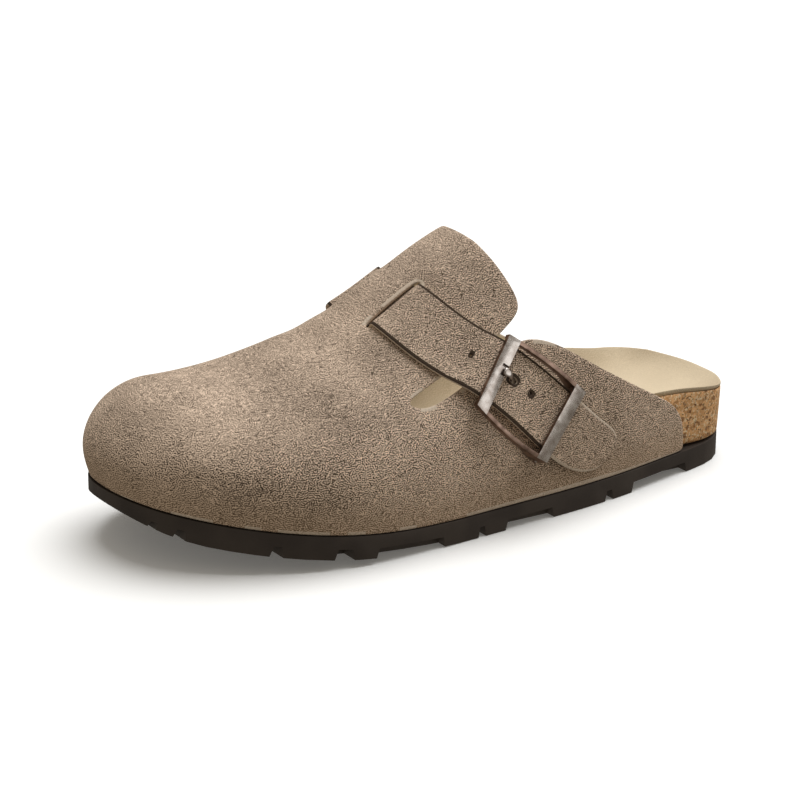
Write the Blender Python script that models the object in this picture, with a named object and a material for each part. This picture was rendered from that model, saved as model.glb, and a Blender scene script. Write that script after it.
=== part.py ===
"""Left clog with a cork footbed: suede upper, buckled instep strap and a lugged foam outsole.

Until a mesh is made, lengths are millimetres in the shoe's own frame: x runs from the back of the heel to the
toe, y to the outer (lateral) side and z up from the floor. An empty then centres the shoe over the origin.
"""

import math
from collections import namedtuple

import bmesh
import bpy
import numpy as np

for old in list(bpy.data.objects):
    bpy.data.objects.remove(old, do_unlink=True)

MM = 0.001
LATERAL, MEDIAL = 1, -1

# Driving sizes
CLEARANCE = 0.3
SOLE_BAND = 4.8
LUG_DEPTH = 4.0
SOLE_TOP = SOLE_BAND + LUG_DEPTH
TOE_SPRING = 15.5
SPRING_START = 145.0
TIP_LIFT = 4.0
TIP_START = 246.0
HEEL_LIFT = 3.0
HEEL_LIFT_END = 7.0
SHOE_LENGTH = 268.0
UPPER_LEDGE = 0.4
UPPER_WALL = 2.0
LINER_THICKNESS = 1.6
STRAP_THICKNESS = 1.8
BUCKLE_LENGTH = 38.6

# Sections from heel to toe. Outline of the outsole on each side, ridge of the upper (its crown line), how
# square the upper's section is, how far its side swells, and heights over the outsole's top face of the
# footbed's rim on each side and of the bed between them.
Section = namedtuple("Section", "lateral_x lateral_y medial_x medial_y ridge_x ridge_y ridge_z "
                                "squareness swell rim_lateral rim_medial bed")
SECTIONS = [
    Section(0, -1, 0, -1, 60, -4, 120, 2.2, 0, 17, 17, 9.5),
    Section(8, 19.2, 7.5, -21, 74, -4, 116.5, 2.2, 0, 18.4, 19.4, 9.5),
    Section(22, 29.8, 22, -31.5, 88, -4, 113, 2.2, 0, 21.6, 21.5, 9.5),
    Section(45, 35.8, 45, -36, 105, -4, 108.4, 2.2, 0, 24.4, 25.8, 10.5),
    Section(72, 42, 72, -36.5, 126, -4, 102.8, 2.2, 0, 27, 28.6, 12),
    Section(103, 46.3, 103, -35, 148, -5, 91.8, 2.2, 0, 26, 31.5, 12.5),
    Section(135, 49, 136, -37, 168, -6, 79.2, 2.25, 0.04, 22, 27.5, 11.5),
    Section(165, 51.5, 168, -42.5, 186, -7, 70.6, 2.35, 0.06, 17, 19, 9.5),
    Section(192, 52, 196, -48, 202, -8, 64.4, 2.5, 0.10, 14, 15, 8),
    Section(216, 46.8, 220, -50, 215, -9, 60.5, 2.6, 0.14, 12, 13, 7.5),
    Section(236, 37.5, 240, -47.5, 227, -10, 59.2, 2.75, 0.19, 11, 12, 7.5),
    Section(252, 25.5, 252.8, -41.2, 236, -11, 59.9, 2.8, 0.26, 10, 11, 7.5),
    Section(263, 10.5, 263, -30.7, 242, -12, 59.4, 2.2, 0.28, 10, 10, 7.5),
    Section(268, -11.5, 268, -11.5, 245, -12, 59.2, 2.1, 0.28, 10, 10, 7.5),
]
TOE = len(SECTIONS) - 1
# The sections cross the instep square to its ridge, and run straight out from it at the toe.
CROWN_FADE = (8.0, 10.0)
# Small steps of station and rise that give the direction of a surface
STATION_STEP, RISE_STEP = 0.02, 0.6


def smooth_curve(rows, closed=False):
    """Cubic spline through the rows, with one row at each whole number of its parameter."""
    points = np.array(rows, float)
    count = len(points)
    system = np.zeros((count, count))
    right = np.zeros_like(points)
    for row in range(count):
        before, after = (row - 1) % count, (row + 1) % count
        if not closed and row == 0:
            before = row
        if not closed and row == count - 1:
            after = row
        system[row, row] = 4 if before != row != after else 2
        for neighbour in {before, after} - {row}:
            system[row, neighbour] += 1
        right[row] = 3 * (points[after] - points[before])
    slopes = np.linalg.solve(system, right)

    def at(parameter):
        first = int(math.floor(parameter))
        if not closed:
            first = min(max(first, 0), count - 2)
        share = parameter - first
        start, end = first % count, (first + 1) % count
        return ((1 + 2 * share) * (1 - share) ** 2 * points[start]
                + share * (1 - share) ** 2 * slopes[start]
                + share ** 2 * (3 - 2 * share) * points[end]
                + share ** 2 * (share - 1) * slopes[end])

    return at


OUTLINE = smooth_curve([(s.lateral_x, s.lateral_y) for s in SECTIONS]
                       + [(s.medial_x, s.medial_y) for s in SECTIONS[-2:0:-1]], closed=True)
RIDGE = smooth_curve([(s.ridge_x, s.ridge_y, s.ridge_z) for s in SECTIONS])


def between_sections(field, station):
    return np.interp(station, range(len(SECTIONS)), [getattr(s, field) for s in SECTIONS])


def smooth_step(value, low, high):
    share = min(max((value - low) / (high - low), 0.0), 1.0)
    return share * share * (3 - 2 * share)


def toe_spring(x):
    """Height by which the sole lifts off the floor towards the toe."""
    return TOE_SPRING * (max(x - SPRING_START, 0.0) / (SHOE_LENGTH - SPRING_START)) ** 2


def end_lift(x):
    """Height by which the underside rises further at the tip of the toe and of the heel."""
    toe = TIP_LIFT * (max(x - TIP_START, 0.0) / (SHOE_LENGTH - TIP_START)) ** 2
    heel = HEEL_LIFT * (max(HEEL_LIFT_END - x, 0.0) / HEEL_LIFT_END) ** 2
    return toe + heel


def outline_point(station, side, inset):
    """Point of the sole's outline at a station, moved inwards by the inset."""
    turn = station if side == LATERAL else 2 * TOE - station
    step = OUTLINE(turn + STATION_STEP) - OUTLINE(turn - STATION_STEP)
    inward = np.array([step[1], -step[0]]) / np.hypot(*step)
    return OUTLINE(turn) + inset * inward


def upper_point(station, rise, side):
    """Outer face of the upper: rise is 0 degrees at the sole and 90 on the ridge."""
    foot = outline_point(station, side, UPPER_LEDGE)
    ridge = RIDGE(station)
    base = SOLE_TOP + toe_spring(foot[0]) + CLEARANCE
    power = 2 / between_sections("squareness", station)
    angle = math.radians(rise)
    level = max(math.cos(angle), 0.0)
    reach = level ** power * (1 + between_sections("swell", station) * math.sin(2 * angle) * level ** 4)
    climb = math.sin(angle) ** power
    crown = 2 - smooth_step(station, *CROWN_FADE)
    return np.array([ridge[0] + (foot[0] - ridge[0]) * reach ** crown,
                     ridge[1] + (foot[1] - ridge[1]) * reach,
                     base + (ridge[2] - base) * climb])


def upper_normal(station, rise, side):
    low, high = max(rise - RISE_STEP, 0.0), min(rise + RISE_STEP, 90.0)
    along = upper_point(station + STATION_STEP, rise, side) - upper_point(station - STATION_STEP, rise, side)
    up = upper_point(station, high, side) - upper_point(station, low, side)
    normal = np.cross(up, along) * side
    return normal / np.linalg.norm(normal)


def skin(station, rise, side, depth):
    """Point at a depth under the upper's outer face, or over it where the depth is negative."""
    return upper_point(station, rise, side) - depth * upper_normal(station, rise, side)


def plate(cells, lower, upper):
    """Closed mesh between two faces made of the same triangles, with a rim round every open edge."""
    bm = bmesh.new()
    keys = sorted({key for cell in cells for key in cell})
    bottom = {key: bm.verts.new(lower(key) * MM) for key in keys}
    top = {key: bm.verts.new(upper(key) * MM) for key in keys}
    open_edges = {}
    for cell in cells:
        ring = [key for place, key in enumerate(cell) if key != cell[place - 1]]
        for last in range(2, len(ring)):
            triangle = ring[0], ring[last - 1], ring[last]
            bm.faces.new([top[key] for key in triangle])
            bm.faces.new([bottom[key] for key in reversed(triangle)])
        for start, end in zip(ring, ring[1:] + ring[:1]):
            if (end, start) in open_edges:
                del open_edges[(end, start)]
            else:
                open_edges[(start, end)] = True
    for start, end in open_edges:
        bm.faces.new([top[end], top[start], bottom[start], bottom[end]])
    bmesh.ops.recalc_face_normals(bm, faces=bm.faces)
    return bm


def grid_cells(rows, columns):
    return [((i, j), (i + 1, j), (i + 1, j + 1), (i, j + 1)) for i in range(rows) for j in range(columns)]


SHOE = bpy.data.objects.new("shoe", None)
bpy.context.scene.collection.objects.link(SHOE)


def add_piece(name, bm, colour, roughness, metallic=0.0):
    mesh = bpy.data.meshes.new(name)
    bm.to_mesh(mesh)
    bm.free()
    piece = bpy.data.objects.new(name, mesh)
    piece.parent = SHOE
    bpy.context.scene.collection.objects.link(piece)
    material = bpy.data.materials.new(name)
    material.use_nodes = True
    shader = material.node_tree.nodes["Principled BSDF"]
    shader.inputs["Base Color"].default_value = (*colour, 1.0)
    shader.inputs["Roughness"].default_value = roughness
    shader.inputs["Metallic"].default_value = metallic
    mesh.materials.append(material)
    return piece


def add_tool(piece, name, bm, operation):
    """A hidden mesh that cuts the piece or joins it."""
    tool = add_piece(name, bm, (0.5, 0.5, 0.5), 0.5)
    tool.hide_render = True
    tool.display_type = "WIRE"
    modifier = piece.modifiers.new(name, "BOOLEAN")
    modifier.operation = operation
    modifier.object = tool


# The bed pieces share one grid: rows from heel to toe, columns from the lateral to the medial edge. Its four
# corners lie on the outline, so that the heel and the toe are rows of cells too.
BED_ROWS, BED_COLUMNS = 26, 8
HEEL_CORNER, TOE_CORNER = 1.25, 11.9
# Rows over which the bed drops from the rim at the heel and the toe, and how late it drops along and across
HEEL_DIP_ROWS, TOE_DIP_ROWS = 6.0, 4.0
DIP_ALONG, DIP_ACROSS = 2.2, 3.2


def bed_edge(i, j):
    """Station and side of the outline under a grid point on the border."""
    across = 1 - 2 * j / BED_COLUMNS
    side = LATERAL if across >= 0 else MEDIAL
    if j in (0, BED_COLUMNS):
        return HEEL_CORNER + (TOE_CORNER - HEEL_CORNER) * i / BED_ROWS, side
    if i == 0:
        return HEEL_CORNER * abs(across), side
    return TOE - (TOE - TOE_CORNER) * abs(across), side


def bed_grid(edge_point):
    """Grid points worked inwards from the border, blending its four sides."""
    def border(i, j):
        return edge_point(*bed_edge(i, j))

    last, far = BED_ROWS, BED_COLUMNS
    corners = [border(0, 0), border(0, far), border(last, 0), border(last, far)]
    points = {}
    for i in range(last + 1):
        a = i / last
        for j in range(far + 1):
            b = j / far
            points[i, j] = ((1 - b) * border(i, 0) + b * border(i, far)
                            + (1 - a) * border(0, j) + a * border(last, j)
                            - (1 - a) * (1 - b) * corners[0] - (1 - a) * b * corners[1]
                            - a * (1 - b) * corners[2] - a * b * corners[3])
    return points


def bed_dip(i, j):
    """How far a grid point has dropped from the rim (0) to the open bed (1)."""
    across = abs(1 - 2 * j / BED_COLUMNS) ** DIP_ACROSS
    heel = max(1 - i / HEEL_DIP_ROWS, 0.0) ** DIP_ALONG
    toe = max(1 - (BED_ROWS - i) / TOE_DIP_ROWS, 0.0) ** DIP_ALONG
    return (1 - across) * (1 - heel) * (1 - toe)


def rim_height(station, side):
    return between_sections("rim_lateral" if side == LATERAL else "rim_medial", station)


def rim_rise(station, side):
    """Rise at which the upper's face reaches the height of the footbed's rim."""
    height = rim_height(station, side)
    low, high = 0.0, 60.0
    for _ in range(30):
        middle = (low + high) / 2
        if upper_point(station, middle, side)[2] - upper_point(station, 0, side)[2] < height:
            low = middle
        else:
            high = middle
    return low


# Outsole: gaps between its lugs, as x from the rear to the front of each gap and how far the gap runs in from
# the edge (right across where that is None).
Gap = namedtuple("Gap", "rear front inwards")
SOLE_GAPS = [
    Gap(34, 68, 5),
    Gap(77.4, 82.7, None),
    Gap(108, 132.5, 4.5),
    Gap(141, 145.3, None),
    Gap(160, 191, 4.5),
    Gap(198.5, 207, 6),
    Gap(223.6, 229, None),
    Gap(252.4, 256.7, None),
    Gap(259.7, 262.6, None),
]
GAP_TAPER = 1.5
CHANNEL_WIDTH, CHANNEL_DEPTH = 6.0, 2.2
CHANNEL_REAR, CHANNEL_FRONT = 20.0, 248.0
CHANNEL_STEPS = 20
# A cutter starts below the floor and ends outside the shoe
CUTTER_BOTTOM, CUTTER_REACH = -2.0, 70.0


def gap_block(bm, gap, near, far):
    """Tapered block that cuts one gap between the y values near and far, following the toe spring."""
    middle, half = (gap.rear + gap.front) / 2, (gap.front - gap.rear) / 2
    taper = min(GAP_TAPER, half / 2)
    slope = (toe_spring(middle + 1) - toe_spring(middle - 1)) / 2
    corners = []
    for y in (near, far):
        for offset, z in ((-half, CUTTER_BOTTOM), (half, CUTTER_BOTTOM), (half - taper, LUG_DEPTH),
                          (taper - half, LUG_DEPTH)):
            lift = toe_spring(middle) + slope * offset
            corners.append(bm.verts.new((np.array([middle + offset - slope * z, y, z + lift])) * MM))
    bm.faces.new(corners[:4])
    bm.faces.new(corners[4:])
    for first in range(4):
        second = (first + 1) % 4
        bm.faces.new([corners[first], corners[second], corners[second + 4], corners[first + 4]])


def outline_y(x, side):
    stations = np.linspace(0.5, TOE - 0.5, 100)
    points = [outline_point(station, side, 0) for station in stations]
    return np.interp(x, [p[0] for p in points], [p[1] for p in points])


def build_outsole():
    plan = bed_grid(lambda station, side: outline_point(station, side, 0))

    def underside(key):
        return np.array([*plan[key], toe_spring(plan[key][0]) + end_lift(plan[key][0])])

    def top(key):
        return np.array([*plan[key], toe_spring(plan[key][0]) + SOLE_TOP])

    sole = add_piece("outsole", plate(grid_cells(BED_ROWS, BED_COLUMNS), underside, top),
                     (0.035, 0.027, 0.022), 0.8)
    gaps = bmesh.new()
    for gap in SOLE_GAPS:
        if gap.inwards is None:
            gap_block(gaps, gap, -CUTTER_REACH, CUTTER_REACH)
            continue
        for side in (LATERAL, MEDIAL):
            edge = min((outline_y(gap.rear, side), outline_y(gap.front, side)), key=abs)
            gap_block(gaps, gap, edge - side * gap.inwards, side * CUTTER_REACH)
    bmesh.ops.recalc_face_normals(gaps, faces=gaps.faces)
    add_tool(sole, "sole_gaps", gaps, "DIFFERENCE")

    def channel_point(key, height):
        x = CHANNEL_REAR + (CHANNEL_FRONT - CHANNEL_REAR) * key[0] / CHANNEL_STEPS
        middle = (outline_y(x, LATERAL) + outline_y(x, MEDIAL)) / 2
        return np.array([x, middle + CHANNEL_WIDTH * (key[1] - 0.5), height + toe_spring(x)])

    channel = plate(grid_cells(CHANNEL_STEPS, 1), lambda key: channel_point(key, CUTTER_BOTTOM),
                    lambda key: channel_point(key, CHANNEL_DEPTH))
    add_tool(sole, "sole_channel", channel, "DIFFERENCE")


# Footbed: its wall lies inside the upper, and comes out flush with the sole where the heel is bare.
BARE_HEEL_START, BARE_HEEL_END = 1.95, 2.5
BARE_FOOT_PROUD, BARE_RIM_PROUD = 0.1, 0.8
COVERED_DEPTH = UPPER_WALL + 2 * CLEARANCE
RIM_DRAW = 0.7


def bed_wall(station, side, rise, depth, proud):
    """Point of the cork's wall: at a depth under the upper, but proud of the sole where the heel is bare."""
    covered = skin(station, rise, side, depth)
    bare = np.array([*outline_point(station, side, -proud), upper_point(station, rise, side)[2]])
    return bare + (covered - bare) * smooth_step(station, BARE_HEEL_START, BARE_HEEL_END)


def bed_surface():
    """Top of the cork, with its border drawn in a little to leave room for the liner's edge."""
    rim = bed_grid(lambda station, side: bed_wall(station, side, rim_rise(station, side),
                                                  COVERED_DEPTH + RIM_DRAW, BARE_RIM_PROUD))
    surface = {}
    for (i, j), point in rim.items():
        station = HEEL_CORNER + (TOE_CORNER - HEEL_CORNER) * i / BED_ROWS
        floor = SOLE_TOP + toe_spring(point[0]) + between_sections("bed", station)
        top = point[2] + (floor - point[2]) * bed_dip(i, j)
        surface[i, j] = np.array([point[0], point[1], top])
    return surface


def build_footbed():
    foot = bed_grid(lambda station, side: bed_wall(station, side, 0, COVERED_DEPTH, BARE_FOOT_PROUD))
    base = {key: np.array([p[0], p[1], SOLE_TOP + CLEARANCE + toe_spring(p[0])]) for key, p in foot.items()}
    top = bed_surface()
    cells = grid_cells(BED_ROWS, BED_COLUMNS)
    add_piece("footbed", plate(cells, base.get, top.get), (0.42, 0.24, 0.11), 0.75)
    up = np.array([0, 0, 1.0])
    add_piece("footbed_liner", plate(cells, lambda key: top[key] + CLEARANCE * up,
                                     lambda key: top[key] + (CLEARANCE + LINER_THICKNESS) * up),
              (0.62, 0.52, 0.40), 0.9)


# Upper: columns of stations from the rear edge of the quarter to the toe, and rows of rises from the sole to
# the ridge. The side slit takes away the cells between its two edges, and the strap slot takes away one row.
SLIT_FRONT = 6.76
SLOT_REAR, SLOT_FRONT = 5.09, 6.25
QUARTER_REAR = 2.66
LAST_COLUMN = 12.72
QUARTER_COLUMNS, SLOT_COLUMNS, SLIT_COLUMNS, VAMP_COLUMNS = 10, 5, 2, 22
COLUMNS = [*np.linspace(QUARTER_REAR, SLOT_REAR, QUARTER_COLUMNS, endpoint=False),
           *np.linspace(SLOT_REAR, SLOT_FRONT, SLOT_COLUMNS, endpoint=False),
           *np.linspace(SLOT_FRONT, SLIT_FRONT, SLIT_COLUMNS, endpoint=False),
           *np.linspace(SLIT_FRONT, LAST_COLUMN, VAMP_COLUMNS + 1)]
SLOT_FIRST = QUARTER_COLUMNS
SLOT_LAST = SLOT_FIRST + SLOT_COLUMNS
SLIT_LAST = SLOT_LAST + SLIT_COLUMNS
TONGUE_COLUMNS = 5
ROWS = [0, 5, 10, 16, 23, 30.5, 38, 41, 44.5, 48.5, 53, 59, 66, 73.5, 76, 83, 90]
SLIT_LOW, SLIT_MIDDLE, SLIT_HIGH = ROWS.index(38), ROWS.index(41), ROWS.index(44.5)
SLOT_LOW, RIDGE_ROW = ROWS.index(73.5), ROWS.index(90)
BRIDGE_LIFT, BRIDGE_RAMP = 1.0, 0.35
SLIT_END_BOW = 0.1

# Edges cut in the upper: the quarter's top and the tongue's lower edge as station and rise, the tongue's rear
# edge as rise and station, how much lower the quarter is on the medial side by station, and the quarter's
# rear edge as share of its height and station.
QUARTER_TOP = [(2.66, 7.5), (2.74, 9.0), (3.06, 12.2), (3.48, 16.7), (3.90, 22.4), (4.12, 26.8), (4.24, 29.8),
               (4.36, 34.2), (4.60, 39.8), (4.85, 41.6), (5.4, 40.4), (6.05, 38.1), (6.55, 36.9), (6.76, 37.8)]
TONGUE_LOW = [(4.5, 48.4), (4.71, 47.1), (5.0, 45.7), (5.6, 45.0), (6.13, 44.4), (6.41, 43.7), (6.76, 42.5)]
TONGUE_REAR = [(44.5, 4.74), (48.5, 4.50), (53, 4.36), (59, 4.24), (66, 4.11), (73.5, 4.01), (76, 3.98),
               (83, 3.95), (90, 3.94)]
MEDIAL_DROP = [(2.66, 1.0), (3.3, 0.86), (4.6, 0.86), (5.4, 1.0)]
QUARTER_CORNER = [(0, 2.66), (0.7, 2.66), (0.9, 2.70), (1, 2.82)]


def read_edge(rows, value):
    return float(np.interp(value, [row[0] for row in rows], [row[1] for row in rows]))


def upper_place(column, row, side):
    """Station and rise of a grid point, with the quarter and the tongue drawn in to their cut edges."""
    station, rise = COLUMNS[column], ROWS[row]
    if column <= SLIT_LAST and row <= SLIT_LOW:
        share = (SLIT_FRONT - station) / (SLIT_FRONT - QUARTER_REAR)
        station = SLIT_FRONT - share * (SLIT_FRONT - read_edge(QUARTER_CORNER, row / SLIT_LOW))
        rise *= read_edge(QUARTER_TOP, station) / ROWS[SLIT_LOW]
        if side == MEDIAL:
            rise *= read_edge(MEDIAL_DROP, station)
    elif column < SLIT_LAST and row >= SLIT_HIGH:
        if column < SLOT_FIRST:
            share = (SLOT_FIRST - column) / TONGUE_COLUMNS
            station = SLOT_REAR - share * (SLOT_REAR - read_edge(TONGUE_REAR, rise))
        if row == SLIT_HIGH:
            rise = read_edge(TONGUE_LOW, station)
    elif column == SLIT_LAST and row == SLIT_MIDDLE:
        station += SLIT_END_BOW
    elif column == SLIT_LAST and row == SLIT_HIGH:
        rise = read_edge(TONGUE_LOW, station)
    return station, rise


def has_upper_cell(column, row):
    if row == SLOT_LOW and SLOT_FIRST <= column < SLOT_LAST:
        return False
    if column >= SLIT_LAST or row < SLIT_LOW:
        return True
    return row >= SLIT_HIGH and column >= SLOT_FIRST - TONGUE_COLUMNS


def bridge_lift(station, row):
    """The leather between the two slots is pushed up by the strap that runs under it."""
    if row <= SLOT_LOW:
        return 0.0
    return (BRIDGE_LIFT * smooth_step(station, SLOT_REAR, SLOT_REAR + BRIDGE_RAMP)
            * (1 - smooth_step(station, SLOT_FRONT - BRIDGE_RAMP, SLOT_FRONT)))


def build_upper():
    def key(side, column, row):
        return (0 if row == RIDGE_ROW else side, column, row)

    cells = []
    toe = len(COLUMNS) - 1
    for row in range(RIDGE_ROW):
        for column in range(toe):
            if has_upper_cell(column, row):
                for side in (LATERAL, MEDIAL):
                    ring = [key(side, column, row), key(side, column + 1, row),
                            key(side, column + 1, row + 1), key(side, column, row + 1)]
                    cells.append(ring[::-1] if side == LATERAL else ring)
        cells.append([key(MEDIAL, toe, row), key(LATERAL, toe, row),
                      key(LATERAL, toe, row + 1), key(MEDIAL, toe, row + 1)])

    def face(depth):
        def at(place):
            side, column, row = place
            station, rise = upper_place(column, row, side)
            return skin(station, rise, side or LATERAL, depth - bridge_lift(station, row))
        return at

    add_piece("upper", plate(cells, face(UPPER_WALL), face(0)), (0.26, 0.185, 0.135), 0.92)


# Strap: its two edges as stations and rises on the upper, from the tip through the buckle to the slot.
StrapRow = namedtuple("StrapRow", "front_station front_rise rear_station rear_rise")
STRAP = [
    StrapRow(4.60, 1.5, 4.07, 9.0),
    StrapRow(5.37, 11.2, 4.64, 20.2),
    StrapRow(5.94, 33.3, 5.05, 41.4),
    StrapRow(6.24, 52.3, 5.20, 56.0),
    StrapRow(6.19, 72.5, 5.15, 72.5),
]
BUCKLE_LOW, BUCKLE_HIGH, SLOT = 1, 2, 4
STRAP_EDGES = smooth_curve(STRAP)
HOLES = [(1.52, 1.60), (1.738, 1.862), (2.385, 2.475)]
HOLE_COLUMN = 2
STRAP_COLUMNS = [0, 0.24, 0.476, 0.596, 0.8, 1]
TIP_ROUND, TIP_WIDTH = 0.40, 0.45
UNDER_BRIDGE = UPPER_WALL + CLEARANCE + STRAP_THICKNESS
OVER_UPPER = -CLEARANCE - 0.05
OVER_PRONG = -2.3
SLOT_RAMP = (4.065, 4.195)
RIDGE_END = 5
# Depth of the strap's underside below the upper's outer face along its path
LATERAL_DEPTHS = [(0, OVER_UPPER), (0.4, OVER_UPPER), (0.85, OVER_PRONG), (2.15, OVER_PRONG),
                  (2.55, OVER_UPPER - 0.3), (3, OVER_UPPER), (SLOT_RAMP[0], OVER_UPPER),
                  (SLOT_RAMP[1], UNDER_BRIDGE)]
MEDIAL_DEPTHS = [(2.6, OVER_UPPER), (3.5, OVER_UPPER - 1.7), *LATERAL_DEPTHS[-2:]]
MEDIAL_END = 1.25


def strap_point(side, path, across, height):
    """Point of the strap: across runs from its front to its rear edge, height from its underside."""
    edges = STRAP_EDGES(min(path, SLOT))
    if path > SLOT:
        edges[1] = edges[3] = edges[1] + (90 - edges[1]) * (path - SLOT) / (RIDGE_END - SLOT)
    if side == LATERAL and path < TIP_ROUND:
        width = TIP_WIDTH + (1 - TIP_WIDTH) * math.sqrt(1 - (1 - path / TIP_ROUND) ** 2)
        across = 0.5 + (across - 0.5) * width
    station = edges[0] + (edges[2] - edges[0]) * across
    rise = edges[1] + (edges[3] - edges[1]) * across
    depth = read_edge(LATERAL_DEPTHS if side == LATERAL else MEDIAL_DEPTHS, path)
    return skin(station, rise, side, depth - height)


def build_strap():
    holes = [bound for hole in HOLES for bound in hole]
    lateral = sorted([0, 0.05, 0.14, 0.26, 0.4, 0.55, 0.7, 0.85, 1, 1.17, 1.34, 1.66, 2.0, 2.15, 2.28, 2.55,
                      2.75, 3, 3.25, 3.5, 3.75, *holes])
    through = [SLOT, SLOT_RAMP[0], 4.13, SLOT_RAMP[1], 4.35, 4.65]
    medial = [3.75, 3.5, 3.25, 3, 2.75, 2.5, 2.25, 2, 1.75, 1.5, MEDIAL_END]
    path = ([(LATERAL, p) for p in lateral + through] + [(LATERAL, RIDGE_END)]
            + [(MEDIAL, p) for p in through[::-1] + medial])
    punched = [(lateral.index(hole[0]), HOLE_COLUMN) for hole in HOLES]
    cells = [cell for cell in grid_cells(len(path) - 1, len(STRAP_COLUMNS) - 1) if cell[0] not in punched]

    def face(height):
        return lambda key: strap_point(*path[key[0]], STRAP_COLUMNS[key[1]], height)

    add_piece("strap", plate(cells, face(0), face(STRAP_THICKNESS)), (0.26, 0.185, 0.135), 0.92)


# Buckle: sizes along its own axes, u down the strap, v across it and n out from the upper. The whole frame is
# bowed about v, and twisted a little, to lie along the side of the foot.
BUCKLE_TOP = -21.15
BUCKLE_END = BUCKLE_TOP + BUCKLE_LENGTH
BOW_RADIUS = 107.0
TWIST_PER_MM = 0.004
RAIL_WIDTH = 1.6
RAIL_FOOT, RAIL_ARCH, BAR_FOOT, BAR_TOP = 0.8, 4.2, 4.95, 6.6
ARCH_END, FOOT_START = 3.0, 12.5
# How far each side of the frame lies from the middle at its top and its end, and how far it bulges between
FrameSide = namedtuple("FrameSide", "top end bulge")
FRONT_SIDE = FrameSide(16.9, 16.6, 2.6)
REAR_SIDE = FrameSide(14.4, 14.7, 0.5)
UPPER_BAR_WIDTH, LOWER_BAR_WIDTH = 4.9, 5.5
NOTCH_WIDTH, NOTCH_LENGTH, NOTCH_FLOOR = 4.2, 2.4, 5.6
ROD_RADIUS, ROD_HEIGHT, ROD_U = 0.75, 1.3, 15.5
ROD_OVERHANG, ROD_SIDES = 0.4, 12
STEP = 0.2
PRONG_THICKNESS = 1.2
PRONG_V = 0.9
ProngRow = namedtuple("ProngRow", "u n width")
PRONG = [
    ProngRow(14.3, 1.2, 2.2),
    ProngRow(4.0, 1.2, 2.2),
    ProngRow(-8.8, 1.2, 2.2),
    ProngRow(-13.2, 5.4, 2.2),
    ProngRow(-14.6, 6.5, 2.4),
    ProngRow(-16.0, 6.5, 3.4),
    ProngRow(-17.4, 6.5, 2.6),
]


def buckle_axes():
    middle = (BUCKLE_LOW + BUCKLE_HIGH) / 2

    def centre(path):
        edges = STRAP_EDGES(path)
        return (edges[0] + edges[2]) / 2, (edges[1] + edges[3]) / 2

    origin = upper_point(*centre(middle), LATERAL)
    along = upper_point(*centre(BUCKLE_LOW), LATERAL) - upper_point(*centre(BUCKLE_HIGH), LATERAL)
    along /= np.linalg.norm(along)
    out = upper_normal(*centre(middle), LATERAL)
    out -= along * out.dot(along)
    out /= np.linalg.norm(out)
    return origin, along, np.cross(out, along), out


BUCKLE_ORIGIN, ALONG, ACROSS, OUT = buckle_axes()


def buckle_point(u, v, n):
    lift = TWIST_PER_MM * u * v - u * u / (2 * BOW_RADIUS)
    return BUCKLE_ORIGIN + ALONG * u + ACROSS * v + OUT * (n + lift)


def frame_edge(u, side):
    """Distance of one side of the frame from its middle."""
    share = (u - BUCKLE_TOP) / BUCKLE_LENGTH
    return side.top + (side.end - side.top) * share + side.bulge * 4 * share * (1 - share)


def rail_foot(u):
    """Underside of the frame's thin sides, which come down to the rod at the end."""
    return RAIL_ARCH + (RAIL_FOOT - RAIL_ARCH) * smooth_step(u, ARCH_END, FOOT_START)


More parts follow.
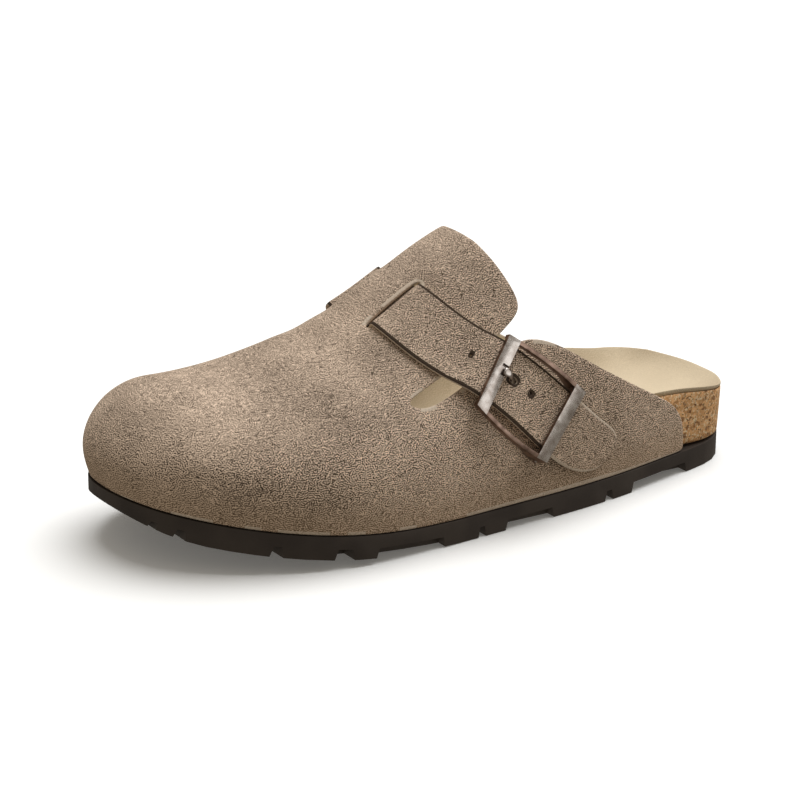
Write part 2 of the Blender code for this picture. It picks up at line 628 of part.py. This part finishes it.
def build_buckle():
    window_top, window_end = BUCKLE_TOP + UPPER_BAR_WIDTH, BUCKLE_END - LOWER_BAR_WIDTH
    notch_end = window_top - NOTCH_LENGTH
    us = [BUCKLE_TOP, notch_end - STEP, notch_end, *np.linspace(window_top, window_end, 9), BUCKLE_END]
    rail_lines, notch_lines = (0, 1, 8, 9), (4, 5)

    def place(key, n):
        u = us[key[0]]
        front, rear = -frame_edge(u, FRONT_SIDE), frame_edge(u, REAR_SIDE)
        notch = NOTCH_WIDTH / 2
        lines = [front, front + RAIL_WIDTH, front + RAIL_WIDTH + STEP,
                 PRONG_V - notch - STEP, PRONG_V - notch, PRONG_V + notch, PRONG_V + notch + STEP,
                 rear - RAIL_WIDTH - STEP, rear - RAIL_WIDTH, rear]
        return buckle_point(u, lines[key[1]], n)

    def in_window(cell):
        row, column = cell[0]
        return window_top <= us[row] < window_end and rail_lines[1] <= column < rail_lines[2]

    def foot(key):
        return place(key, rail_foot(us[key[0]]) if key[1] in rail_lines else BAR_FOOT)

    def top(key):
        in_notch = notch_end <= us[key[0]] <= window_top and key[1] in notch_lines
        return place(key, NOTCH_FLOOR if in_notch else BAR_TOP)

    cells = [cell for cell in grid_cells(len(us) - 1, rail_lines[-1]) if not in_window(cell)]
    frame = add_piece("buckle_frame", plate(cells, foot, top), (0.36, 0.23, 0.15), 0.35, 1.0)
    rod = bmesh.new()
    ends = []
    for v in (-frame_edge(ROD_U, FRONT_SIDE) - ROD_OVERHANG, frame_edge(ROD_U, REAR_SIDE) + ROD_OVERHANG):
        turns = [2 * math.pi * corner / ROD_SIDES for corner in range(ROD_SIDES)]
        ends.append([rod.verts.new(buckle_point(ROD_U + ROD_RADIUS * math.cos(turn), v,
                                                ROD_HEIGHT + ROD_RADIUS * math.sin(turn)) * MM)
                     for turn in turns])
    for corner in range(ROD_SIDES):
        after = (corner + 1) % ROD_SIDES
        rod.faces.new([ends[0][corner], ends[0][after], ends[1][after], ends[1][corner]])
    rod.faces.new(ends[0])
    rod.faces.new(ends[1])
    bmesh.ops.recalc_face_normals(rod, faces=rod.faces)
    add_tool(frame, "buckle_rod", rod, "UNION")

    def prong_face(height):
        def at(key):
            row = PRONG[key[0]]
            before, after = PRONG[max(key[0] - 1, 0)], PRONG[min(key[0] + 1, len(PRONG) - 1)]
            step = np.array([after.u - before.u, after.n - before.n])
            u_step, n_step = step / np.linalg.norm(step)
            v = PRONG_V + row.width * (key[1] - 0.5)
            return buckle_point(row.u + height * n_step, v, row.n - height * u_step)
        return at

    prong = plate(grid_cells(len(PRONG) - 1, 1), prong_face(-PRONG_THICKNESS / 2),
                  prong_face(PRONG_THICKNESS / 2))
    add_piece("buckle_prong", prong, (0.40, 0.33, 0.28), 0.35, 1.0)


def centre_shoe():
    """Put the middle of the shoe's box over the origin, with the floor at z = 0."""
    points = np.array([vertex.co for piece in SHOE.children if not piece.hide_render
                       for vertex in piece.data.vertices])
    low, high = points.min(axis=0), points.max(axis=0)
    SHOE.location = (-(low[0] + high[0]) / 2, -(low[1] + high[1]) / 2, -low[2])


build_outsole()
build_footbed()
build_upper()
build_strap()
build_buckle()
centre_shoe()
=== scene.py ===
import math

import bmesh
import bpy
from mathutils import Matrix, Vector


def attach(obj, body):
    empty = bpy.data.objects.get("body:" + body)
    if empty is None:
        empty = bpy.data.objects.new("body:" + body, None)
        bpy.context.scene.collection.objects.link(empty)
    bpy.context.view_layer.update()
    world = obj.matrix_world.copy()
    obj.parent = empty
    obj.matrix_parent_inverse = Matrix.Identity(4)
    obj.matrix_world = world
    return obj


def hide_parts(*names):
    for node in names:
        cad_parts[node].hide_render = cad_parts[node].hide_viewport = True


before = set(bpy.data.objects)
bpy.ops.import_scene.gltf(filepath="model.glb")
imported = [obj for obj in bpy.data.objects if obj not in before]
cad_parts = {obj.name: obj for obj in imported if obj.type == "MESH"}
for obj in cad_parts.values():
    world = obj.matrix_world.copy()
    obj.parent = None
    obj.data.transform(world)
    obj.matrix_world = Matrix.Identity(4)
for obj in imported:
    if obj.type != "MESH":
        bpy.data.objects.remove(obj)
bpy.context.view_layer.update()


# Outsole. The real piece is one moulding of dark brown foam rubber, glued under the cork, with lugs along its
# edge. The mould leaves its corners a little round, its skin faintly pebbled and its underside finely ribbed.
SAME_POINT = 0.00001
SOLE_CORNER = 0.0005
CORNER_STEPS = 3
MOULDED_ANGLE = math.radians(32)
FLAT_ANGLE = math.radians(0.6)
FACING_DOWN = -0.9
FOAM_DARK = (0.034, 0.025, 0.020, 1)
FOAM_LIGHT = (0.052, 0.040, 0.032, 1)
FOAM_ROUGHNESS = 0.50
PEBBLE_ROUGHNESS = 0.22
RIB_SHARE = 0.85
SKIN, TREAD = 0, 1

# A Mix node has sockets of the same names for values and for colours. These are the ones for colours.
MIX_SHARE, MIX_FIRST, MIX_SECOND, MIX_RESULT = 0, 6, 7, 2


class Flow:
    """A value on its way through a finish. Arithmetic on it adds Math nodes."""

    def __init__(self, finish, socket):
        self.finish = finish
        self.socket = socket

    def __add__(self, other):
        return self.finish.math("ADD", self, other)

    def __sub__(self, other):
        return self.finish.math("SUBTRACT", self, other)

    def __rsub__(self, other):
        return self.finish.math("SUBTRACT", other, self)

    def __mul__(self, other):
        return self.finish.math("MULTIPLY", self, other)

    __radd__ = __add__
    __rmul__ = __mul__


class Finish:
    """The look of one surface: a Principled material and the nodes that vary it."""

    def __init__(self, name, constants):
        self.material = bpy.data.materials.new(name)
        self.material.use_nodes = True
        self.tree = self.material.node_tree
        self.shader = self.tree.nodes["Principled BSDF"]
        self.fill(self.shader, constants)
        self.place = self.node("ShaderNodeTexCoord", output="Object")

    def fill(self, node, sockets):
        """Set or link each named socket of a node."""
        for key, value in sockets.items():
            if isinstance(value, Flow):
                self.tree.links.new(value.socket, node.inputs[key])
            else:
                node.inputs[key].default_value = value

    def node(self, kind, settings=None, sockets=None, output=0):
        """Add a node with its settings and its socket values or links, and give one of its outputs."""
        made = self.tree.nodes.new(kind)
        for name, value in (settings or {}).items():
            setattr(made, name, value)
        self.fill(made, sockets or {})
        return Flow(self, made.outputs[output])

    def math(self, operation, first, second):
        """Reckon with two values."""
        return self.node("ShaderNodeMath", {"operation": operation}, {0: first, 1: second})

    def part(self, vector, axis):
        """One of the three parts of a place or a direction."""
        return self.node("ShaderNodeSeparateXYZ", None, {"Vector": vector}, output=axis)

    def noise(self, scale, detail=2.0, output=0):
        """Cloudy values about one half, scale being the number of clouds to the metre."""
        sockets = {"Vector": self.place, "Scale": scale, "Detail": detail}
        return self.node("ShaderNodeTexNoise", None, sockets, output)

    def ramp(self, value, start, full):
        """Rise smoothly from 0 where the value is start to 1 where it is full."""
        return self.node("ShaderNodeMapRange", {"interpolation_type": "SMOOTHSTEP"},
                         {"Value": value, "From Min": start, "From Max": full})

    def mix(self, share, first, second):
        """Blend two colours."""
        return self.node("ShaderNodeMix", {"data_type": "RGBA"},
                         {MIX_SHARE: share, MIX_FIRST: first, MIX_SECOND: second}, MIX_RESULT)

    def height(self, value, depth, strength=1.0):
        """Turn values from 0 to 1 into relief of that depth in metres."""
        relief = self.node("ShaderNodeBump", None, {"Strength": strength, "Distance": depth, "Height": value})
        self.fill(self.shader, {"Normal": relief})

    def paint(self, varying):
        """Link what varies over the surface to the shader."""
        self.fill(self.shader, varying)


def solid_of(node):
    """The closed skin of a CAD node, merged from its loose triangles."""
    shape = bmesh.new()
    shape.from_mesh(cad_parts[node].data)
    bmesh.ops.remove_doubles(shape, verts=shape.verts, dist=SAME_POINT)
    return shape


def add_piece(name, shape, node, *finishes):
    """Make a shape the piece that stands for a CAD node."""
    mesh = bpy.data.meshes.new(name)
    shape.to_mesh(mesh)
    shape.free()
    for finish in finishes:
        mesh.materials.append(finish.material)
    mesh.shade_smooth()
    piece = bpy.data.objects.new(name, mesh)
    bpy.context.scene.collection.objects.link(piece)
    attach(piece, "root")
    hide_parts(node)
    return piece


def round_corners(piece, width):
    """Round the corners of a moulded or cast piece."""
    bevel = piece.modifiers.new("rounded corners", "BEVEL")
    bevel.width = width
    bevel.segments = CORNER_STEPS
    bevel.limit_method = "ANGLE"
    bevel.angle_limit = MOULDED_ANGLE
    bevel.harden_normals = True


def foam_rubber(name):
    """Dark moulded foam, cloudy and faintly pebbled. Gives the finish and its pebbles."""
    finish = Finish(name, {"Specular IOR Level": 0.35})
    pebble = finish.noise(scale=900.0, detail=3.0)
    cloud = finish.ramp(finish.noise(scale=60.0), start=0.3, full=0.7)
    finish.paint({"Base Color": finish.mix(cloud, FOAM_DARK, FOAM_LIGHT),
                  "Roughness": FOAM_ROUGHNESS + PEBBLE_ROUGHNESS * pebble})
    return finish, pebble


foam, foam_pebble = foam_rubber("foam_rubber")
foam.height(foam_pebble, depth=0.00008, strength=0.6)
tread, tread_pebble = foam_rubber("foam_tread")
tread_rib = tread.node("ShaderNodeTexWave", {"bands_direction": "DIAGONAL"},
                       {"Vector": tread.place, "Scale": 95.0, "Distortion": 3.0, "Detail": 0.0,
                        "Detail Scale": 0.4})
tread.height(RIB_SHARE * tread_rib + (1 - RIB_SHARE) * tread_pebble, depth=0.0006, strength=0.9)

sole_shape = solid_of("outsole")
bmesh.ops.dissolve_limit(sole_shape, angle_limit=FLAT_ANGLE, verts=sole_shape.verts, edges=sole_shape.edges)
for face in sole_shape.faces:
    face.material_index = TREAD if face.normal.z < FACING_DOWN else SKIN
outsole = add_piece("outsole_moulding", sole_shape, "outsole", foam, tread)
round_corners(outsole, SOLE_CORNER)


# Footbed. The real piece is one block pressed from cork granules and latex, bare round the heel, where its
# wall is sanded smooth. Granules of all browns show, with pale flecks and dark bark between them.
QUAD_ANGLE = math.radians(40)
CORNER_ANGLE = math.radians(38)
SUBDIVISIONS = 2
CORK_CORNER = 0.0005
COARSE_GRANULES = 760.0
FINE_GRANULES = 1700.0
CORK_DARK = (0.54, 0.27, 0.105, 1)
CORK_LIGHT = (0.92, 0.55, 0.26, 1)
PALE_FLECK = (0.95, 0.78, 0.52, 1)
DARK_BARK = (0.23, 0.100, 0.038, 1)
DARK_SPECK = (0.10, 0.042, 0.016, 1)


def quads_of(node):
    """The skin of a CAD node with its triangle pairs joined into four-sided faces."""
    shape = solid_of(node)
    bmesh.ops.join_triangles(shape, faces=shape.faces, angle_face_threshold=QUAD_ANGLE,
                             angle_shape_threshold=math.pi)
    return shape


def corners_of(shape):
    """The edges where a shape turns sharply."""
    return [edge for edge in shape.edges if edge.calc_face_angle(0) > CORNER_ANGLE]


def hold(shape, corners, width):
    """Cut narrow strips along the corners, so that they stay tight when the shape is subdivided."""
    cut = bmesh.ops.bevel(shape, geom=corners, offset=width, offset_type="OFFSET", affect="EDGES",
                          segments=1, profile=0.5, clamp_overlap=True, material=-1)
    return cut["faces"]


def subdivide(piece):
    """Smooth a piece with a subdivision surface."""
    surface = piece.modifiers.new("smooth surface", "SUBSURF")
    surface.levels = SUBDIVISIONS
    surface.render_levels = SUBDIVISIONS


def bend(finish, scale, reach):
    """Places on the surface, moved about by cloudy noise, so that cells drawn there have wavy sides."""
    cloud = finish.noise(scale, output="Color")
    move = finish.node("ShaderNodeVectorMath", {"operation": "SCALE"}, {0: cloud, "Scale": reach})
    return finish.node("ShaderNodeVectorMath", {"operation": "ADD"}, {0: finish.place, 1: move})


def granules(finish, scale, place):
    """One random value from 0 to 1 for each cork granule."""
    colour = finish.node("ShaderNodeTexVoronoi", None, {"Vector": place, "Scale": scale}, output="Color")
    return finish.node("ShaderNodeSeparateColor", None, {"Color": colour})


cork = Finish("sanded_cork", {"Roughness": 0.75, "Specular IOR Level": 0.3})
granule_place = bend(cork, scale=500.0, reach=0.0016)
coarse = granules(cork, COARSE_GRANULES, granule_place)
fine = granules(cork, FINE_GRANULES, granule_place)
fleck = cork.ramp(fine, start=0.76, full=0.93)
bark = cork.ramp(coarse, start=0.20, full=0.06)
speck = cork.ramp(fine, start=0.14, full=0.03)
tone = cork.mix(coarse, CORK_DARK, CORK_LIGHT)
for layer, share, colour in [(fleck, 0.85, PALE_FLECK), (bark, 0.7, DARK_BARK), (speck, 0.8, DARK_SPECK)]:
    tone = cork.mix(layer * share, tone, colour)
cork.paint({"Base Color": tone})
cork.height((coarse + fine) * 0.5, depth=0.00020, strength=0.5)

cork_shape = quads_of("footbed")
hold(cork_shape, corners_of(cork_shape), CORK_CORNER)
footbed = add_piece("footbed_cork", cork_shape, "footbed", cork)
subdivide(footbed)


# Footbed liner. The real piece is a sheet of undyed split suede, glued over the cork and cut flush with its
# rim. Its nap is short and creamy. Low in the heel's seat it is painted paler and smoother, as painted light
# where the footbed's floor faces the overhead light.
LINER_CORNER = 0.0004
MIDDLE_VALUE = 0.5
CURL_WEIGHT = 0.8
FIBRE_WEIGHT = 0.5
CLOUD_WEIGHT = 0.25
FIBRES_TO_CURL = 8.0
# The share of the painted relief shade that is taken off faces that look up.
LESS_RELIEF_SHADE_ON_TOP = 0.6
NAP_CURVE = 0.35
SEAT_TOP = 0.031
SEAT_LOW = 0.021
SEAT_LIGHT_SHARE = 0.6
SEAT_PAINTED_LIGHT = (0.78, 0.655, 0.475, 1)


def suede(name, dark, light, grain=560.0, contrast=1.0, relief=0.00012, sheen=0.2):
    """Brushed leather: a short nap in fine curls with dark between them, in patches where it was stroked. The
    dark between the curls is painted stronger on faces that look sideways than on faces that look up, as
    painted relief shade where light grazes the nap.
    """
    finish = Finish(name, {"Roughness": 0.95, "Specular IOR Level": 0.12, "Sheen Weight": sheen,
                           "Sheen Roughness": 0.5, "Sheen Tint": light})
    curl = finish.node("ShaderNodeTexGabor", {"gabor_type": "3D"},
                       {"Vector": finish.place, "Scale": grain, "Frequency": 2.4, "Anisotropy": 0.0})
    fibre = finish.noise(scale=grain * FIBRES_TO_CURL, detail=1.0)
    stroke = finish.noise(scale=70.0, detail=3.0)
    patch = finish.noise(scale=18.0, detail=1.0)
    upward = finish.part(finish.node("ShaderNodeNewGeometry", output="Normal"), "Z")
    # Painted relief shade: the curls get less contrast on faces that look up, and full contrast on faces that
    # look sideways, where grazing light would shade the nap.
    depth = contrast * (1.0 - LESS_RELIEF_SHADE_ON_TOP * finish.ramp(upward, start=0.2, full=0.9))
    curls = CURL_WEIGHT * (curl - MIDDLE_VALUE) + FIBRE_WEIGHT * (fibre - MIDDLE_VALUE)
    clouds = CLOUD_WEIGHT * (stroke - MIDDLE_VALUE) + CLOUD_WEIGHT * (patch - MIDDLE_VALUE)
    nap = finish.ramp(MIDDLE_VALUE + depth * curls + clouds, start=0.0, full=1.0)
    finish.colour = finish.mix(nap * ((1 - NAP_CURVE) + NAP_CURVE * nap), dark, light)
    finish.paint({"Base Color": finish.colour})
    finish.height(fibre, relief)
    return finish


def tint(finish, share, colour):
    """Lay a second colour over a suede where share is above 0."""
    finish.paint({"Base Color": finish.mix(share, finish.colour, colour)})


cream_suede = suede("cream_suede", dark=(0.38, 0.295, 0.19, 1), light=(0.82, 0.69, 0.50, 1), relief=0.00008)
liner_height = cream_suede.part(cream_suede.place, "Z")
# Painted light: the low seat is mixed towards a paler, flatter cream, where the footbed's floor faces the
# overhead light.
lit_seat = cream_suede.ramp(liner_height, start=SEAT_TOP, full=SEAT_LOW)
tint(cream_suede, lit_seat * SEAT_LIGHT_SHARE, SEAT_PAINTED_LIGHT)

liner_shape = quads_of("footbed_liner")
hold(liner_shape, corners_of(liner_shape), LINER_CORNER)
liner = add_piece("footbed_liner_suede", liner_shape, "footbed_liner", cream_suede)
subdivide(liner)


# Upper. The real piece is one cut of thick taupe suede, pulled over a last and tucked under the cork's edge.
# Its back is undyed, and its cut edges are left raw, so they show a thin paler line. Wear has pressed a few
# soft creases into it. Just above the sole it is painted darker and warmer as painted shade, where the upper
# meets the sole, which springs up towards the toe.
EDGE_ROUND = 0.00035
CUT_ANGLE = math.radians(68)
# The last number is for the strap's near-black finish: painted shadow, and a dark edge line.
OUTER, INNER, CUT, DARK_EDGE_SHADOW = 0, 1, 2, 3
SPRING_START = 0.011
SPRING_LENGTH = 0.123
SPRING_RISE = 0.0155
SOLE_TOP = 0.0091
FEATHER_TOP = 0.016
FEATHER_FULL = 0.002
FEATHER_SHADE_SHARE = 0.35
FEATHER_SHADE_BROWN = (0.36, 0.245, 0.145, 1)

# For each crease: where it starts and ends, how far it reaches to either side, and how far it is pushed.
CREASES = [
    ((0.042, 0.037, 0.052), (0.052, -0.008, 0.070), 0.010, (-0.0002, 0, -0.0006)),
    ((0.052, -0.008, 0.070), (0.042, -0.035, 0.052), 0.010, (-0.0002, 0, -0.0006)),
    ((0.058, 0.040, 0.048), (0.069, -0.008, 0.064), 0.009, (0.0001, 0, 0.0004)),
    ((-0.068, 0.038, 0.020), (-0.056, 0.037, 0.044), 0.008, (0, 0.0004, 0)),
    ((-0.010, 0.022, 0.086), (-0.002, -0.004, 0.098), 0.009, (-0.0002, -0.0001, -0.0004)),
]


def number_skins(shape):
    """Number the faces of a leather sheet by what they are: outer face, inner face or cut edge."""
    waiting = set(shape.faces)
    skins = []
    while waiting:
        front = [waiting.pop()]
        patch = []
        while front:
            face = front.pop()
            patch.append(face)
            for edge in face.edges:
                if edge.calc_face_angle(0) < CUT_ANGLE:
                    near = waiting.intersection(edge.link_faces)
                    waiting -= near
                    front.extend(near)
        skins.append(patch)
    skins.sort(key=lambda patch: -sum(face.calc_area() for face in patch))
    for number, patch in enumerate(skins):
        for face in patch:
            face.material_index = min(number, CUT)


def hold_cut_edges(shape):
    """Keep a sheet's edges crisp through its thickness. Gives the strips along its outer edge."""
    for skin in (INNER, OUTER):
        rims = [edge for edge in shape.edges
                if {face.material_index for face in edge.link_faces} == {skin, CUT}]
        strips = hold(shape, rims, EDGE_ROUND)
    return strips


def smoothed(shape):
    """Subdivide a shape for good, so that its surface can be pressed."""
    mesh = bpy.data.meshes.new("rough")
    shape.to_mesh(mesh)
    shape.free()
    rough = bpy.data.objects.new("rough", mesh)
    bpy.context.scene.collection.objects.link(rough)
    subdivide(rough)
    fine_shape = bmesh.new()
    fine_shape.from_object(rough, bpy.context.evaluated_depsgraph_get())
    bpy.data.objects.remove(rough)
    bpy.data.meshes.remove(mesh)
    return fine_shape


def press(shape, start, end, reach, push):
    """Press a soft trough into a sheet along a line, or raise a ridge on it."""
    start, push = Vector(start), Vector(push)
    line = Vector(end) - start
    aim = push.normalized()
    for vert in shape.verts:
        offset = vert.co - start
        along = min(max(offset.dot(line) / line.length_squared, 0.0), 1.0)
        gap = offset - along * line
        gap = (gap - aim * gap.dot(aim)).length
        if gap < reach:
            vert.co += push * (0.5 + 0.5 * math.cos(math.pi * gap / reach))


taupe_suede = suede("taupe_suede", dark=(0.05, 0.034, 0.022, 1), light=(0.96, 0.745, 0.57, 1), contrast=3.6)
forward = taupe_suede.part(taupe_suede.place, "X")
up = taupe_suede.part(taupe_suede.place, "Z")
sprung = taupe_suede.math("MAXIMUM", (forward - SPRING_START) * (1 / SPRING_LENGTH), 0.0)
over_sole = up - SOLE_TOP - SPRING_RISE * sprung * sprung
# Painted shade: a warm dark brown is laid over the suede in a band just above the sole, where the upper meets
# it.
feather_shade = taupe_suede.ramp(over_sole, start=FEATHER_TOP, full=FEATHER_FULL)
tint(taupe_suede, feather_shade * FEATHER_SHADE_SHARE, FEATHER_SHADE_BROWN)
undyed_back = suede("undyed_suede_back", dark=(0.58, 0.49, 0.33, 1), light=(0.88, 0.78, 0.56, 1),
                    contrast=0.6)
raw_edge = suede("raw_suede_edge", dark=(0.42, 0.335, 0.25, 1), light=(0.86, 0.74, 0.61, 1), grain=400.0)

upper_shape = quads_of("upper")
number_skins(upper_shape)
hold_cut_edges(upper_shape)
upper_shape = smoothed(upper_shape)
for crease in CREASES:
    press(upper_shape, *crease)
upper = add_piece("upper_suede", upper_shape, "upper", taupe_suede, undyed_back, raw_edge)


# Strap. The real piece is one band of the same suede, threaded through two slots under the instep, with small
# punched holes and a rounded tip. It is held by the buckle on the outer side. The walls of its holes and the
# wall of the cut at the tip are painted near-black as painted shadow. Away from the tip its outer corner is
# painted dark as a dark edge line, and at the tip that corner is left raw.
BUCKLE_MIDDLE = Vector((-0.01512, 0.04066, 0.04677))
DOWN_STRAP = Vector((-0.7259, 0.1810, -0.6635))
TIP_START = 0.0145
HOLE_REACH = 0.0028
HOLE_SHARE = 0.38
HOLES = [Vector((-0.01433, 0.04302, 0.04989)), Vector((0.00582, 0.03356, 0.06541))]


def draw_in_hole(shape, middle):
    """Bring the walls of a punched hole in to its real size."""
    walls = [vert for vert in shape.verts if (vert.co - middle).length < HOLE_REACH]
    axis = sum((face.normal for vert in walls for face in vert.link_faces if face.material_index == OUTER),
               Vector()).normalized()
    for vert in walls:
        offset = vert.co - middle
        vert.co -= (offset - axis * offset.dot(axis)) * (1 - HOLE_SHARE)


strap_shape = quads_of("strap")
number_skins(strap_shape)
for hole in HOLES:
    draw_in_hole(strap_shape, hole)
outer_corner = set(hold_cut_edges(strap_shape))
# Painted shadow: the walls of the punched holes and the cut wall at the tip get the near-black finish. Away
# from the tip the outer corner gets it as a dark edge line, and the cut wall shows raw.
for face in strap_shape.faces:
    if face in outer_corner or face.material_index == CUT:
        middle = face.calc_center_median()
        at_hole = any((middle - hole).length < HOLE_REACH for hole in HOLES)
        at_tip = (middle - BUCKLE_MIDDLE).dot(DOWN_STRAP) > TIP_START
        raw = not at_hole and (face in outer_corner) == at_tip
        face.material_index = CUT if raw else DARK_EDGE_SHADOW
# A near-black suede: painted shadow in the holes and on the tip's cut wall, and the dark line along the outer
# corner away from the tip.
dark_edge_shadow = suede("dark_edge_and_painted_shadow", dark=(0.035, 0.025, 0.018, 1), light=(0.10, 0.070, 0.050, 1), sheen=0.0)
strap = add_piece("strap_suede", strap_shape, "strap", taupe_suede, undyed_back, raw_edge, dark_edge_shadow)
subdivide(strap)


# Buckle. The real piece is a cast frame with a bowed side on each hand, plated in antique copper. Brushing
# has worn the faces of its two bars to grey metal, and the copper stays on its corners and sides.
FRAME_CORNER = 0.0008
OUT = Vector((-0.0526, 0.9473, 0.3160))
FACING_OUT = 0.75
WINDOW_TOP, WINDOW_FOOT = -0.0160, 0.0125
SCRATCH_ROUGHNESS = 0.22
COPPER, BRUSHED = 0, 1


def plated(name, dark, bright, roughness):
    """Cast metal under a thin plating, with cloudy patina and fine scratches."""
    finish = Finish(name, {"Metallic": 1.0})
    scratch = finish.noise(scale=2500.0)
    patina = finish.ramp(finish.noise(scale=300.0, detail=3.0), start=0.32, full=0.68)
    finish.paint({"Base Color": finish.mix(patina, dark, bright),
                  "Roughness": roughness + SCRATCH_ROUGHNESS * (scratch - MIDDLE_VALUE)})
    finish.height(scratch, depth=0.00004, strength=0.4)
    return finish


copper = plated("antique_copper", dark=(0.15, 0.100, 0.078, 1), bright=(0.33, 0.228, 0.18, 1), roughness=0.34)
brushed = plated("brushed_bar", dark=(0.34, 0.295, 0.265, 1), bright=(0.54, 0.50, 0.47, 1), roughness=0.28)

frame_shape = solid_of("buckle_frame")
for face in frame_shape.faces:
    down = (face.calc_center_median() - BUCKLE_MIDDLE).dot(DOWN_STRAP)
    on_bar = not WINDOW_TOP < down < WINDOW_FOOT
    face.material_index = BRUSHED if on_bar and face.normal.dot(OUT) > FACING_OUT else COPPER
bmesh.ops.dissolve_limit(frame_shape, angle_limit=FLAT_ANGLE, verts=frame_shape.verts,
                         edges=frame_shape.edges, delimit={"MATERIAL"})
buckle_frame = add_piece("buckle_frame_cast", frame_shape, "buckle_frame", copper, brushed)
round_corners(buckle_frame, FRAME_CORNER)


# Prong. The real piece is a short plated tongue, folded round the buckle's rod under the strap. It comes up
# through the strap's hole and its round end lies in the notch of the upper bar.
PRONG_CORNER = 0.00035
prong_shape = quads_of("buckle_prong")
hold(prong_shape, corners_of(prong_shape), PRONG_CORNER)
prong = add_piece("buckle_prong_cast", prong_shape, "buckle_prong", brushed)
subdivide(prong)


# Floor, light and camera. A pale floor, which throws no light back up the sides, lies under one broad soft
# light overhead and a little behind. A small card of light behind the heel adds shine to the buckle and
# lights nothing matt. The camera is low in front of the toe, on the shoe's outer side.
FLOOR_REACH = 12.0
FLOOR_DROP = 0.0002
SURROUND_COLOUR = (1.0, 0.92, 0.80, 1)
SURROUND_STRENGTH = 0.32
OVERHEAD_POWER = 3.1
OVERHEAD_COLOUR = (0.97, 0.985, 1.0)
OVERHEAD_SPREAD = math.radians(65)
OVERHEAD_FROM = Vector((-0.38, -0.12, 0.92))
CARD_SIZE = 0.45
CARD_POWER = 0.9
CARD_PLACE = Vector((-0.50, 0.66, 0.36))
VIEW_AZIMUTH = math.radians(147.0)
VIEW_ELEVATION = math.radians(18.4)
VIEW_ROLL = math.radians(0.6)
VIEW_DISTANCE = 1.0
VIEW_TARGET = Vector((-0.00215, -0.02552, 0.030))
VIEW_LENS = 115.9
VIEW_SENSOR = 36.0


def add_light(name, light, aim):
    """Put a light into the scene, shining away from aim."""
    lamp = bpy.data.objects.new(name, light)
    lamp.rotation_mode = "QUATERNION"
    lamp.rotation_quaternion = aim.to_track_quat("Z", "Y")
    bpy.context.scene.collection.objects.link(lamp)
    return lamp


floor_shape = bmesh.new()
bmesh.ops.create_grid(floor_shape, x_segments=1, y_segments=1, size=FLOOR_REACH)
bmesh.ops.translate(floor_shape, verts=floor_shape.verts, vec=(0, 0, -FLOOR_DROP))
floor_mesh = bpy.data.meshes.new("floor")
floor_shape.to_mesh(floor_mesh)
floor_shape.free()
pale = Finish("pale_floor", {"Base Color": (0.96, 0.96, 0.955, 1), "Roughness": 0.9,
                             "Specular IOR Level": 0.1, "Emission Color": (1, 1, 0.96, 1),
                             "Emission Strength": 0.09})
floor_mesh.materials.append(pale.material)
floor = bpy.data.objects.new("floor", floor_mesh)
bpy.context.scene.collection.objects.link(floor)
floor.visible_diffuse = False
floor.visible_glossy = False

world = bpy.data.worlds.new("studio")
world.use_nodes = True
surround = world.node_tree.nodes["Background"]
surround.inputs["Color"].default_value = SURROUND_COLOUR
surround.inputs["Strength"].default_value = SURROUND_STRENGTH
bpy.context.scene.world = world

overhead = bpy.data.lights.new("overhead", "SUN")
overhead.energy = OVERHEAD_POWER
overhead.color = OVERHEAD_COLOUR
overhead.angle = OVERHEAD_SPREAD
add_light("overhead", overhead, OVERHEAD_FROM)

card = bpy.data.lights.new("card", "AREA")
card.size = CARD_SIZE
card.energy = CARD_POWER
reflector = add_light("card", card, CARD_PLACE - BUCKLE_MIDDLE)
reflector.location = CARD_PLACE
reflector.visible_diffuse = False

back = Vector((math.sin(VIEW_AZIMUTH) * math.cos(VIEW_ELEVATION),
               -math.cos(VIEW_AZIMUTH) * math.cos(VIEW_ELEVATION), math.sin(VIEW_ELEVATION)))
lens = bpy.data.cameras.new("camera")
lens.lens = VIEW_LENS
lens.sensor_width = VIEW_SENSOR
camera = bpy.data.objects.new("camera", lens)
roll = Matrix.Rotation(VIEW_ROLL, 4, "Z")
camera.matrix_world = (Matrix.Translation(VIEW_TARGET + back * VIEW_DISTANCE)
                       @ back.to_track_quat("Z", "Y").to_matrix().to_4x4() @ roll)
bpy.context.scene.collection.objects.link(camera)
bpy.context.scene.camera = camera
bpy.context.scene.view_settings.view_transform = "Standard"
